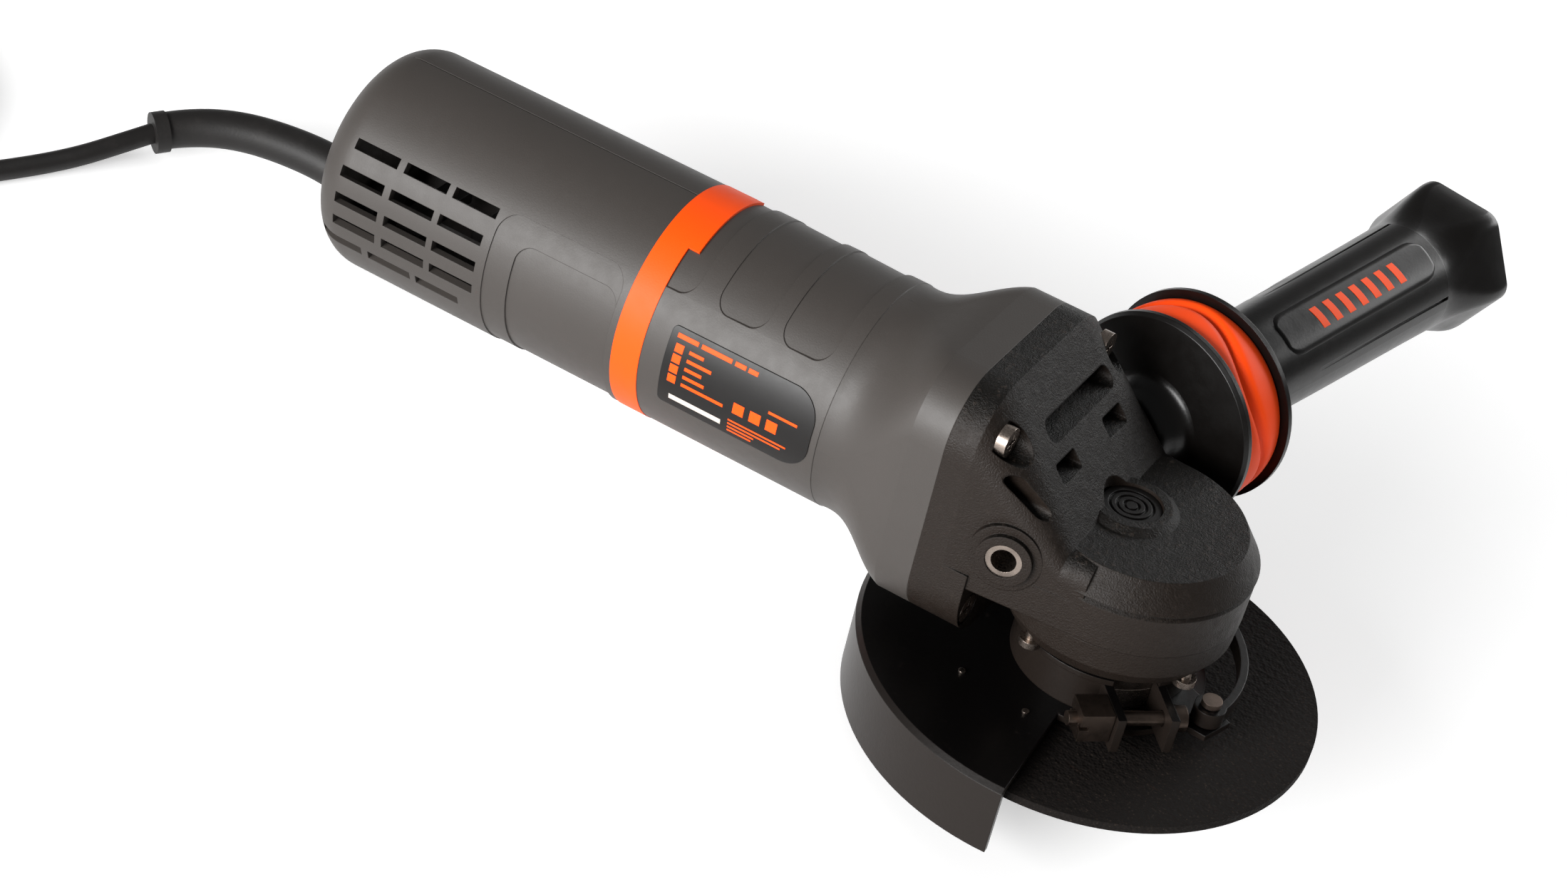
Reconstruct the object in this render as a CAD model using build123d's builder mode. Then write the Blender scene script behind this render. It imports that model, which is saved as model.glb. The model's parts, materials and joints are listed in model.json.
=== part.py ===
"""Corded 125 mm angle grinder, as an assembly of separate pieces.

It is drawn in the tool's own axes (millimetres): +X forward along the motor axis, +Z up along
the spindle, origin where the two axes cross.  The last step sets the finished tool down on
the plane z = 0, resting on its tail and on the rear of the guard's rim, as it lies on a bench.
"""
from build123d import *
from math import acos, atan2, cos, degrees, hypot, pi, radians, sin, tan
import os

os.makedirs("parts", exist_ok=True)

# ---- driving dimensions -------------------------------------------------------------------
body_r = 33.6            # motor and rear housings, outside radius
wall = 2.6               # moulded wall thickness
skin_r = body_r - wall   # inside radius of both housings
spigot_r = 30.7          # rear spigot of the motor housing, outside radius
tail_x, tail_round = -251.0, 12.0
ring_x0, ring_x1 = -146.7, -138.0
tab_x1 = -134.6          # the accent ring is wider over the top of the body
joint_x = -46.0          # joint between motor housing and gear housing
flange_y, flange_z = 74.0, 76.0
flange_corner = 18.0
screw_y, screw_z = 29.4, 27.6
head_r = 33.0            # nose of the gear housing, about the spindle
head_top, head_bottom = 5.0, -16.5
cover_bottom = -28.0
disc_r, disc_top, disc_t = 62.5, -48.6, 2.5
bore_r = 11.1            # 22.23 mm disc bore
guard_r, guard_top, guard_rim, guard_t = 67.6, -44.8, -66.7, 2.0
collar_r = 22.5          # neck that carries the guard
thread_r = 6.9           # M14 spindle thread
insert_x, insert_z = -22.0, -1.3
insert_r, insert_depth = 5.0, 12.8       # threaded bush in each boss
boss_y = 38.0            # face of the side-handle bosses
button_x = -4.2
pinion_teeth, wheel_teeth = 11, 38
lock_holes, lock_hole_at, lock_pin_r = 7, 10.5, 1.8
running = 0.05           # radial clearance of a shaft in its bearing
armature_r = 17.9
handle_lean = 12.4       # the side handle leans this many degrees forward of square,
handle_rise = 0.7        # and this many up
stud_r = 3.4             # M8 handle stud
cord_r = 3.0
sleeve_r, sleeve_end_r = 6.3, 5.4
exit_z = -16.0           # the cord leaves the tail below its centre

pieces = {}


def keep(piece, name):
    """Label a finished piece and keep it for the set-down at the end."""
    piece.part.label = name
    pieces[name] = piece.part


def turned(points, axis=Axis.X):
    """A solid of revolution from (along, radius) points about X, or (radius, along) about Z."""
    plane = Plane.XY if axis is Axis.X else Plane.XZ
    with BuildPart() as solid:
        with BuildSketch(plane):
            with BuildLine():
                Polyline(*points, close=True)
            make_face()
        revolve(axis=axis)
    return solid


def around_x(angle, radius=0.0, x=0.0):
    """Sketch plane lying on a cylinder about X: local x along the tool, local z outward."""
    a = radians(angle)
    out = (0, -cos(a), sin(a))
    return Plane(origin=(x, radius * out[1], radius * out[2]), x_dir=(1, 0, 0), z_dir=out)


def meridian_x(angle):
    """Plane through the X axis: local x along the tool, local y outward at this angle."""
    a = radians(angle)
    return Plane(origin=(0, 0, 0), x_dir=(1, 0, 0), z_dir=(0, -sin(a), cos(a)))


def meridian_z(angle):
    """Plane through the Z axis: local x outward at this angle, local y up."""
    a = radians(angle)
    return Plane(origin=(0, 0, 0), x_dir=(cos(a), sin(a), 0), z_dir=(sin(a), -cos(a), 0))


def boss_plane(side):
    """Face of a side-handle boss, its normal along the handle; side is +1 for left."""
    lean, rise = radians(handle_lean), radians(handle_rise)
    outward = (sin(lean) * cos(rise), side * cos(lean) * cos(rise), sin(rise))
    return Plane(origin=(insert_x, side * boss_y, insert_z), x_dir=(cos(lean), -side * sin(lean), 0),
                 z_dir=outward)


def tube_x(x0, x1, outer, inner):
    """A tube about the motor axis."""
    return turned([(x0, inner), (x0, outer), (x1, outer), (x1, inner)])


def tube_z(z0, z1, outer, inner):
    """A tube about the spindle axis."""
    return turned([(inner, z0), (outer, z0), (outer, z1), (inner, z1)], Axis.Z)


def ball_bearing(plane, bore, outer, width, balls=8):
    """Inner race, outer race and balls, centred on the plane's origin along its normal."""
    race = (outer - bore) * 0.3
    ball_r = (outer - bore) * 0.2
    with BuildPart() as bearing:
        with BuildSketch(plane.offset(-width / 2)):
            Circle(outer)
            Circle(outer - race, mode=Mode.SUBTRACT)
            Circle(bore + race)
            Circle(bore, mode=Mode.SUBTRACT)
        extrude(amount=width)
        with Locations(plane):
            with PolarLocations((outer + bore) / 2, balls):
                Sphere(ball_r, mode=Mode.SUBTRACT)
                Sphere(ball_r - 0.05)
    return bearing


# ---- rear housing: two half shells ---------------------------------------------------------
vent_rows = ((33, 1.5), (18, 0), (4, 0), (-9, 0), (-22.5, -5))
vent_columns = (-233.5, -216.7, -200.2)
vent_length, vent_height = 14.5, 3.2
seam = 0.5


def side_outline(side, x0, x1, z0, z1, corner, depth):
    """A cutter for a shallow recess with this side-view outline in one flank of the body."""
    height, length = z1 - z0, x1 - x0
    with BuildPart() as cutter:
        with BuildSketch(Plane.XZ.offset(-side * body_r * 0.45)):
            with Locations(((x0 + x1) / 2, (z0 + z1) / 2)):
                RectangleRounded(length, height, corner)
        extrude(amount=-side * body_r)
        with BuildSketch(Plane.YZ.offset(x0 - 1)):
            Circle(body_r - depth)
        extrude(amount=length + 2, mode=Mode.SUBTRACT)
    return cutter.part


def rear_half(side):
    """One half shell of the rear housing; side is +1 for left (+Y) and -1 for right."""
    with BuildPart() as half:
        with BuildSketch(Plane.YZ.offset(tail_x)):
            Circle(body_r)
        extrude(amount=ring_x0 - tail_x)
        fillet(half.edges().sort_by(Axis.X)[0], radius=tail_round)
        front = half.faces().sort_by(Axis.X)[-1]
        offset(amount=-wall, openings=front)
        with BuildSketch(Plane.YZ.offset(tail_x - 1)):
            with Locations((0, exit_z)):
                Circle(sleeve_r + 0.1)
        extrude(amount=14, mode=Mode.SUBTRACT)
        for angle, shift in vent_rows:
            turn = angle if side < 0 else 180 - angle
            for x in vent_columns:
                with BuildSketch(around_x(turn, body_r + 2, x + shift)):
                    Rectangle(vent_length, vent_height)
                extrude(amount=-9, mode=Mode.SUBTRACT)
        add(side_outline(side, -190, -149, -40, 20.5, 6, 0.35), mode=Mode.SUBTRACT)
        add(side_outline(side, -182, -149, -40, 14.5, 5, 0.8), mode=Mode.SUBTRACT)
        with BuildSketch(Plane.YZ.offset(tail_x)):
            with Locations((0, body_r), (0, -body_r)):
                Rectangle(seam, 2 * seam)
        extrude(amount=ring_x0 - tail_x, mode=Mode.SUBTRACT)
        split(bisect_by=Plane.XZ, keep=Keep.TOP if side < 0 else Keep.BOTTOM)
    return half


keep(rear_half(1), "rear_housing_left")
keep(rear_half(-1), "rear_housing_right")

# ---- accent ring ---------------------------------------------------------------------------
tab_half_angle = 31      # the tab covers this much each side of the top


def tab_sector(outer, inner, x0, x1):
    """A sector over the top of the body, for the ring's tab and the notch it fills."""
    reach = 2 * outer * tan(radians(tab_half_angle))
    with BuildPart() as sector:
        with BuildSketch(Plane.YZ.offset(x0)):
            Circle(outer)
            Circle(inner, mode=Mode.SUBTRACT)
            with BuildLine():
                Polyline((0, 0), (reach, 2 * outer), (-reach, 2 * outer), close=True)
            make_face(mode=Mode.INTERSECT)
        extrude(amount=x1 - x0)
    return sector.part


with BuildPart() as accent_ring:
    add(tube_x(ring_x0, ring_x1, body_r + 0.15, spigot_r).part)
    add(tab_sector(body_r + 0.15, spigot_r, ring_x1, tab_x1))
keep(accent_ring, "accent_ring")

# ---- motor housing -------------------------------------------------------------------------
flare = ((-82, 2 * body_r - 0.4, 2 * body_r - 0.4, body_r - 0.5), (-71, 67.8, 68.4, 30.5),
         (-62, 72.2, 73.6, 22.5), (-56, flange_y, flange_z, flange_corner))
grip_steps = (-129.8, -107.5, -87.4)
grip_back, grip_front = 0.25, 0.7        # depth of a grip pad at its two ends
grip_angle, grip_length, grip_corner = 38, 15.5, 4.5


def grip_sink(x):
    """Cutter for a U-shaped grip pad over the top of the body, deepest at its front end x."""
    low = body_r * sin(radians(grip_angle))
    with BuildPart() as sink:
        add(turned([(x - grip_length, body_r + 1), (x - grip_length, body_r - grip_back),
                    (x, body_r - grip_front), (x, body_r + 1)]).part)
        with BuildSketch(Plane.XZ):
            with Locations((x - grip_length / 2, low + body_r)):
                RectangleRounded(grip_length, 2 * body_r, grip_corner)
        extrude(amount=body_r + 2, both=True, mode=Mode.INTERSECT)
    return sink.part


with BuildPart() as motor_housing:
    with BuildSketch(Plane.YZ.offset(ring_x1)):
        Circle(body_r)
    extrude(amount=flare[0][0] - ring_x1)
    for x, width, height, corner in flare:
        with BuildSketch(Plane.YZ.offset(x)):
            RectangleRounded(width, height, corner)
    loft()
    with BuildSketch(Plane.YZ.offset(flare[-1][0])):
        RectangleRounded(flange_y, flange_z, flange_corner)
    extrude(amount=joint_x - flare[-1][0])
    add(tube_x(-152, ring_x1, spigot_r, 10).part)
    for x in grip_steps:
        add(grip_sink(x), mode=Mode.SUBTRACT)
    add(tab_sector(body_r + 1, spigot_r, ring_x1, tab_x1), mode=Mode.SUBTRACT)
    add(turned([(-153, 0), (-153, 28.6), (-131, 28.6), (-129, skin_r), (-68, skin_r),
                (-62, head_r), (joint_x + 1, head_r), (joint_x + 1, 0)]).part, mode=Mode.SUBTRACT)
    with BuildSketch(Plane.YZ.offset(joint_x)):
        with GridLocations(2 * screw_y, 2 * screw_z, 2, 2):
            Circle(2.1)
    extrude(amount=-15, mode=Mode.SUBTRACT)
    with Locations((-110, body_r, 4)):
        Box(26, 12, 8, mode=Mode.SUBTRACT)
keep(motor_housing, "motor_housing")

with BuildPart() as rating_label:
    with BuildSketch(Plane.XZ.offset(20)) as label_outline:
        with Locations((-112.5, 2.2)):
            RectangleRounded(37, 24, 1.5)
        with Locations((-97.5, 2.2)):
            RectangleRounded(27, 24, 8.5)
    extrude(amount=20)
    add(tube_x(-140, -70, body_r + 0.3, body_r).part, mode=Mode.INTERSECT)
keep(rating_label, "rating_label")

# ---- motor: field, armature, brushes -------------------------------------------------------
coil_z, stator_flat = 23.5, 25.8
with BuildPart() as stator_core:
    add(tube_x(-122, -76, skin_r, armature_r + 0.6).part)
    with BuildSketch(Plane.YZ.offset(-122)):
        with Locations((0, coil_z), (0, -coil_z)):
            Rectangle(26, 5)
    extrude(amount=46, mode=Mode.SUBTRACT)
    with BuildSketch(Plane.YZ.offset(-122)):
        Rectangle(2 * stator_flat, 2 * body_r)
    extrude(amount=46, mode=Mode.INTERSECT)
keep(stator_core, "stator_core")

with BuildPart() as field_coils:
    for side in (1, -1):
        with BuildSketch(Plane.YZ.offset(-129)):
            with Locations((0, side * coil_z)):
                RectangleRounded(25, 4.4, 1.5)
        extrude(amount=58)
keep(field_coils, "field_coils")

shaft_r = 5.0
keep(turned([(-166, 0), (-166, 4), (-154, 4), (-154, shaft_r), (-31, shaft_r), (-31, 4),
             (-12.8, 4), (-12.8, 0)]), "armature_shaft")
keep(tube_x(-120, -78, armature_r, shaft_r), "armature_core")

with BuildPart() as armature_windings:
    add(turned([(-130, shaft_r), (-128, 13), (-120, 16.5), (-120, shaft_r)]).part)
    add(turned([(-78, shaft_r), (-78, 16.5), (-70, 14), (-68, shaft_r)]).part)
keep(armature_windings, "armature_windings")

segments = 24
with BuildPart() as commutator:
    add(tube_x(-149, -132, 12.5, shaft_r).part)
    for k in range(segments):
        with BuildSketch(meridian_x(360 * k / segments)):
            with Locations((-140.5, 12.5)):
                Rectangle(18, 1.6)
        extrude(amount=0.2, both=True, mode=Mode.SUBTRACT)
keep(commutator, "commutator")

brush_y = 6.0
with BuildPart() as brush_holders:
    for side in (1, -1):
        with BuildSketch(Plane.XZ.offset(-side * 14)):
            with Locations((-140.5, 0)):
                Rectangle(12, 10.5)
                Rectangle(8.2, 6.5, mode=Mode.SUBTRACT)
        extrude(amount=-side * 13)
keep(brush_holders, "brush_holders")
with BuildPart() as carbon_brushes:
    for side in (1, -1):
        with BuildSketch(Plane.XZ.offset(-side * 12.7)):
            with Locations((-140.5, 0)):
                Rectangle(8, 6.3)
        extrude(amount=-side * 9)
keep(carbon_brushes, "carbon_brushes")
with BuildPart() as brush_springs:
    with Locations((-140.5, 24.2, 0), (-140.5, -24.2, 0)):
        Box(5.5, 4.8, 5)
keep(brush_springs, "brush_springs")

keep(ball_bearing(Plane.YZ.offset(-160), 4 + running, 11, 7), "rear_bearing")
keep(tube_x(-164, -155, 14, 11), "rear_bearing_sleeve")
with BuildPart() as motor_end_frame:
    add(tube_x(-165, -154, 16.5, 14).part)
    for angle in (45, 135, 225, 315):
        with BuildSketch(meridian_x(angle)):
            with Locations((-156, 21)):
                Rectangle(4, 12)
        extrude(amount=2, both=True)
    add(tube_x(-158, -152, skin_r, 26).part)
keep(motor_end_frame, "motor_end_frame")

fan_blades = 13
with BuildPart() as cooling_fan:
    add(turned([(-64, shaft_r), (-64, 9), (-56, 9), (-54, 30), (-52.6, 30), (-52.6, shaft_r)]).part)
    for k in range(fan_blades):
        with BuildSketch(meridian_x(360 * k / fan_blades)):
            with BuildLine():
                Polyline((-61, 18), (-61, 29.5), (-53, 30), (-53, 12), close=True)
            make_face()
        extrude(amount=0.6, both=True)
keep(cooling_fan, "cooling_fan")
keep(turned([(-70, 22), (-70, skin_r), (-67.5, skin_r), (-63.5, 31), (-63.5, 29), (-68, 22)]), "air_baffle")

# ---- gear housing --------------------------------------------------------------------------
slope_x0, slope_x1 = -38.0, -8.0
step_x = -30.5           # front of the lower screw flange
pocket_floor = 0.2       # floor of the spindle-lock button's pocket
upper_seat, lower_seat = -34.5, -33.6    # seats of the housing screws' heads
flank_height = 10.0      # the flanks stay upright this far above the split line
button_r, button_top, button_t = 8.2, 5.6, 2.6
cover_screw_r, cover_screw_from = 29.6, -24      # the cover screws' circle, and where it starts
nose = [(0, head_bottom), (head_r, head_bottom), (head_r + 0.2, -4.4), (head_r - 0.7, -3.4),
        (head_r + 0.4, -2.6), (head_r - 4.6, head_top), (0, head_top)]


with BuildPart() as gear_housing:
    with BuildSketch(Plane.YZ.offset(joint_x)):
        RectangleRounded(flange_y, flange_z, flange_corner)
    extrude(amount=slope_x0 - joint_x)
    with BuildSketch(Plane.YZ.offset(slope_x0)):
        RectangleRounded(flange_y, flange_z, flange_corner)
    for x, width in ((slope_x1, 2 * head_r + 1.4), (0, 2 * head_r)):
        with BuildSketch(Plane.YZ.offset(x)):
            with Locations((0, (head_top + head_bottom) / 2)):
                RectangleRounded(width, head_top - head_bottom, 7)
    loft(ruled=True)
    with BuildSketch(Plane.YZ.offset(slope_x0)):
        RectangleRounded(flange_y, flange_z, flange_corner)
        with Locations((0, 20)):
            Rectangle(100, 64, mode=Mode.SUBTRACT)
    extrude(amount=step_x - slope_x0)
    with Locations((step_x + 30, 0, head_bottom - 20)):
        Box(60, 90, 40, mode=Mode.SUBTRACT)
    with BuildSketch(Plane.XY.offset(head_bottom)):
        with BuildLine():
            Polyline((slope_x0, flange_y / 2), (0, head_r), (0, -head_r), (slope_x0, -flange_y / 2), close=True)
        make_face()
    extrude(amount=flank_height)
    add(turned(nose, Axis.Z).part)
    for side in (1, -1):
        with BuildSketch(boss_plane(side)):
            Circle(7.6)
        extrude(amount=-12)
        with BuildSketch(boss_plane(side).offset(-1.6)):
            Circle(10)
        extrude(amount=-11)
    add(turned([(0, 0), (14.2, head_top - 2), (13.2, head_top), (11, head_top + 1.6), (0, head_top + 1.6)],
               Axis.Z).part.moved(Location((button_x, 0, 0))))
    # the gear chamber, the pinion's tunnel and the bearing seat
    add(turned([(0, head_bottom), (27, head_bottom), (27, -6), (24, -1.2), (0, -1.2)], Axis.Z).part,
        mode=Mode.SUBTRACT)
    add(turned([(joint_x, 0), (joint_x, head_r), (joint_x + 4.5, head_r), (joint_x + 4.5, 13.5),
                (-31, 13.5), (-31, 9.6), (-24, 9.6), (-12.5, 6.4), (-10.8, 6.4), (-10.8, 0)]).part,
        mode=Mode.SUBTRACT)
    with BuildSketch(Plane.XY.offset(pocket_floor)):
        with Locations((button_x, 0)):
            Circle(button_r + 0.25)
    extrude(amount=20, mode=Mode.SUBTRACT)
    with BuildSketch(Plane.XY.offset(pocket_floor)):
        with Locations((-lock_hole_at, 0)):
            Circle(lock_pin_r + 0.15)
    extrude(amount=-10, mode=Mode.SUBTRACT)
    # outlet vents through the sloping roof
    with BuildSketch(Plane.YZ.offset(joint_x + 4)):
        with Locations((2.5, 25.6)):
            SlotOverall(38, 5.4)
        for side in (1, -1):
            with Locations((side * 14, 17.8)):
                RectangleRounded(11, 4.4, 1)
            with Locations(Location((side * 31.8, 16.3), side * 72)):
                SlotOverall(10, 4)
    extrude(amount=45, mode=Mode.SUBTRACT)
    for y in (-screw_y, screw_y):
        for z, seat in ((screw_z, upper_seat), (-screw_z, lower_seat)):
            with BuildSketch(Plane.YZ.offset(joint_x)):
                with Locations((y, z)):
                    Circle(2.6)
            extrude(amount=30, mode=Mode.SUBTRACT)
            with BuildSketch(Plane.YZ.offset(seat)):
                with Locations((y, z)):
                    Circle(5)
            extrude(amount=30, mode=Mode.SUBTRACT)
    for side in (1, -1):
        with BuildSketch(boss_plane(side)):
            Circle(insert_r)
        extrude(amount=-insert_depth, mode=Mode.SUBTRACT)
    with BuildSketch(Plane.XY.offset(head_bottom)):
        with PolarLocations(cover_screw_r, 4, start_angle=cover_screw_from):
            Circle(1.7)
    extrude(amount=9, mode=Mode.SUBTRACT)
keep(gear_housing, "gear_housing")

with BuildPart() as handle_inserts:
    for side in (1, -1):
        with BuildSketch(boss_plane(side).offset(-0.4)):
            Circle(insert_r)
            Circle(stud_r + running, mode=Mode.SUBTRACT)
        extrude(amount=0.4 - insert_depth)
keep(handle_inserts, "handle_inserts")

with BuildPart() as gear_housing_screws:
    for y in (-screw_y, screw_y):
        for z, seat in ((screw_z, upper_seat), (-screw_z, lower_seat)):
            with BuildSketch(Plane.YZ.offset(seat)):
                with Locations((y, z)):
                    Circle(4.2)
            extrude(amount=3)
            with BuildSketch(Plane.YZ.offset(seat)):
                with Locations((y, z)):
                    Circle(2.1)
            extrude(amount=-26)
            with BuildSketch(Plane.YZ.offset(seat + 3)):
                with Locations((y, z)):
                    Rectangle(4.6, 1)
                    Rectangle(1, 4.6)
            extrude(amount=-1.6, mode=Mode.SUBTRACT)
keep(gear_housing_screws, "gear_housing_screws")

keep(ball_bearing(Plane.YZ.offset(-36), shaft_r + running, 13.5, 9), "front_bearing")

# ---- bevel gears: teeth run straight along the pitch cones ----------------------------------
gear_ratio = pinion_teeth / wheel_teeth
tooth_in, tooth_out, tooth_w = 17.0, 24.0, 1.0
root, tip = -0.75, 0.5

with BuildPart() as pinion:
    add(turned([(-tooth_out, 4), (-tooth_out, tooth_out * gear_ratio + root),
                (-tooth_in, tooth_in * gear_ratio + root), (-tooth_in, 4)]).part)
    for k in range(pinion_teeth):
        with BuildSketch(meridian_x(-90 + 360 * k / pinion_teeth)):
            with BuildLine():
                Polyline((-tooth_out, 4.5), (-tooth_out, tooth_out * gear_ratio + tip),
                         (-tooth_in, tooth_in * gear_ratio + tip), (-tooth_in, 4.1), close=True)
            make_face()
        extrude(amount=tooth_w / 2, both=True)
    add(tube_x(-31, -tooth_out, 6, 4).part)
keep(pinion, "pinion")
with BuildPart() as pinion_nut:
    with BuildSketch(Plane.YZ.offset(-tooth_in)):
        RegularPolygon(4.9, 6)
        Circle(4, mode=Mode.SUBTRACT)
    extrude(amount=4)
keep(pinion_nut, "pinion_nut")

wheel_bore = 5.9
with BuildPart() as ring_gear:
    add(turned([(wheel_bore, -15), (20, -15), (tooth_out, -11.5),
                (tooth_out, -tooth_out * gear_ratio + root), (tooth_in, -tooth_in * gear_ratio + root),
                (15.5, -8), (wheel_bore, -8)], Axis.Z).part)
    for k in range(wheel_teeth):
        with BuildSketch(meridian_z(180 + 360 * (k + 0.5) / wheel_teeth)):
            with BuildLine():
                Polyline((tooth_in, -7), (tooth_out, -9), (tooth_out, -tooth_out * gear_ratio + tip),
                         (tooth_in, -tooth_in * gear_ratio + tip), close=True)
            make_face()
        extrude(amount=tooth_w / 2, both=True)
    with BuildSketch(Plane.XY.offset(-7)):
        with PolarLocations(lock_hole_at, lock_holes, start_angle=180):
            Circle(2.4)
    extrude(amount=-10, mode=Mode.SUBTRACT)
keep(ring_gear, "ring_gear")

# ---- spindle and what it carries ------------------------------------------------------------
disc_bottom = disc_top - disc_t
nut_bottom = disc_bottom - 6.5
spindle_end = nut_bottom - 5.0
keep(turned([(0, -1.6), (4, -1.6), (4, -7), (wheel_bore, -7), (wheel_bore, -27.5), (9, -27.5),
             (9, -41), (thread_r, -41), (thread_r, spindle_end + 1), (thread_r - 1, spindle_end),
             (0, spindle_end)], Axis.Z), "spindle")
keep(tube_z(-6.6, -1.2, 6.2, 4 + running), "upper_bush")
keep(ball_bearing(Plane.XY.offset(-21.5), wheel_bore + running, 16, 10), "spindle_bearing")

with BuildPart() as bearing_cover:
    add(turned([(30, cover_bottom), (head_r - 0.6, -24), (head_r, head_bottom),
                (16, head_bottom), (16, -27), (12, -27), (12, -43.8), (collar_r, -43.8),
                (collar_r, cover_bottom)], Axis.Z).part)
    with BuildSketch(Plane.XY.offset(head_bottom)):
        with PolarLocations(cover_screw_r, 4, start_angle=cover_screw_from):
            Circle(1.8)
    extrude(amount=-15, mode=Mode.SUBTRACT)
    with Locations((step_x - 19.8, 0, head_bottom)):
        Box(40, 80, 60, mode=Mode.SUBTRACT)
keep(bearing_cover, "bearing_cover")
keep(tube_z(-33, -28.5, 12, 9 + 0.15), "dust_seal")

with BuildPart() as cover_screws:
    with BuildSketch(Plane.XY.offset(cover_bottom)):
        with PolarLocations(cover_screw_r, 4, start_angle=cover_screw_from):
            Circle(1.6)
    extrude(amount=19)
    with BuildSketch(Plane.XY.offset(cover_bottom)):
        with PolarLocations(cover_screw_r, 4, start_angle=cover_screw_from):
            Circle(3.2)
    extrude(amount=-2)
keep(cover_screws, "cover_screws")

keep(turned([(thread_r + running, -41), (11, -41), (11, -45), (19.5, -45), (20.5, -46.5), (20.5, disc_top),
             (bore_r - 0.05, disc_top), (bore_r - 0.05, disc_top - 1.6), (thread_r + running, disc_top - 1.6)],
            Axis.Z), "inner_flange")
keep(tube_z(disc_bottom, disc_top, disc_r, bore_r + 1.4), "cutting_disc")
keep(tube_z(disc_bottom, disc_top, bore_r + 1.4, bore_r), "disc_arbor_ring")
with BuildPart() as flange_nut:
    add(turned([(thread_r + running, nut_bottom), (16, nut_bottom), (17.5, disc_bottom - 2.5),
                (20.5, disc_bottom - 2.5), (20.5, disc_bottom), (thread_r + running, disc_bottom)], Axis.Z).part)
    with BuildSketch(Plane.XY.offset(nut_bottom)):
        with PolarLocations(12.4, 4):
            Circle(2.4)
    extrude(amount=4, mode=Mode.SUBTRACT)
keep(flange_nut, "flange_nut")

# ---- guard ----------------------------------------------------------------------------------
guard_from, guard_to = 94.0, 274.0       # the skirt runs round the back between these angles
collar_in, collar_out = collar_r + 0.3, collar_r + 2.5
collar_top = -31.5

with BuildPart() as guard_shell:
    add(turned([(collar_in, guard_top - guard_t), (collar_in, guard_top), (guard_r - 1.4, guard_top),
                (guard_r, guard_top - 1.4), (guard_r, guard_rim), (guard_r - guard_t, guard_rim),
                (guard_r - guard_t, guard_top - 2.6), (guard_r - 2.6, guard_top - guard_t)], Axis.Z).part)
    with BuildSketch(Plane.XY.offset(guard_rim)):
        with BuildLine():
            a, b = radians(guard_from), radians(guard_to)
            Polyline((0, 0), (100 * cos(a), 100 * sin(a)), (-100, 100), (-100, -100),
                     (100 * cos(b), 100 * sin(b)), close=True)
        make_face()
        Circle(collar_out + 5)
    extrude(amount=guard_top - guard_rim, mode=Mode.INTERSECT)
keep(guard_shell, "guard_shell")

clamp_angle = -48.0      # the collar is split here
split_half = 9.0
bolt_at = (33, -37.6)    # distance from the spindle axis, and height
lug_dir = radians(clamp_angle)
with BuildPart() as guard_collar:
    add(tube_z(guard_top, collar_top, collar_out, collar_in).part)
    add(tube_z(collar_top - 1.6, collar_top, collar_out + 1.4, collar_in).part)
    with BuildSketch(Plane.XY.offset(guard_top)):
        with Locations(Location((26 * cos(lug_dir), 26 * sin(lug_dir)), clamp_angle)):
            Rectangle(20, 2 * split_half - 5)
    extrude(amount=collar_top - guard_top, mode=Mode.SUBTRACT)
    for side in (1, -1):
        with BuildSketch(Plane.XY.offset(guard_top + 0.6)):
            with Locations(Location((0, 0), clamp_angle)):
                with Locations((31, side * (split_half - 1.5))):
                    Rectangle(16, 2.4)
        extrude(amount=11)
    with BuildSketch(Plane((0, 0, 0), x_dir=(cos(lug_dir), sin(lug_dir), 0),
                           z_dir=(sin(lug_dir), -cos(lug_dir), 0)).offset(-20)):
        with Locations(bolt_at):
            Circle(2.2)
    extrude(amount=40, mode=Mode.SUBTRACT)
keep(guard_collar, "guard_collar")

across = Plane((0, 0, 0), x_dir=(cos(lug_dir), sin(lug_dir), 0), z_dir=(sin(lug_dir), -cos(lug_dir), 0))
with BuildPart() as clamp_bolt:
    with BuildSketch(across.offset(-12.5)):
        with Locations(bolt_at):
            Circle(2.0)
    extrude(amount=33)
    with BuildSketch(across.offset(-12.5)):
        with Locations(bolt_at):
            Circle(3.6)
    extrude(amount=3.5)
keep(clamp_bolt, "clamp_bolt")
with BuildPart() as clamp_nut:
    with BuildSketch(across.offset(split_half)):
        with Locations(bolt_at):
            Rectangle(8.8, 8.8)
            Circle(2.0, mode=Mode.SUBTRACT)
    extrude(amount=9)
    with BuildSketch(across.offset(split_half + 9)):
        with Locations(bolt_at):
            Rectangle(9, 1.2)
            Circle(2.6, mode=Mode.SUBTRACT)
    extrude(amount=-2.5, mode=Mode.SUBTRACT)
keep(clamp_nut, "clamp_nut")

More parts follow.
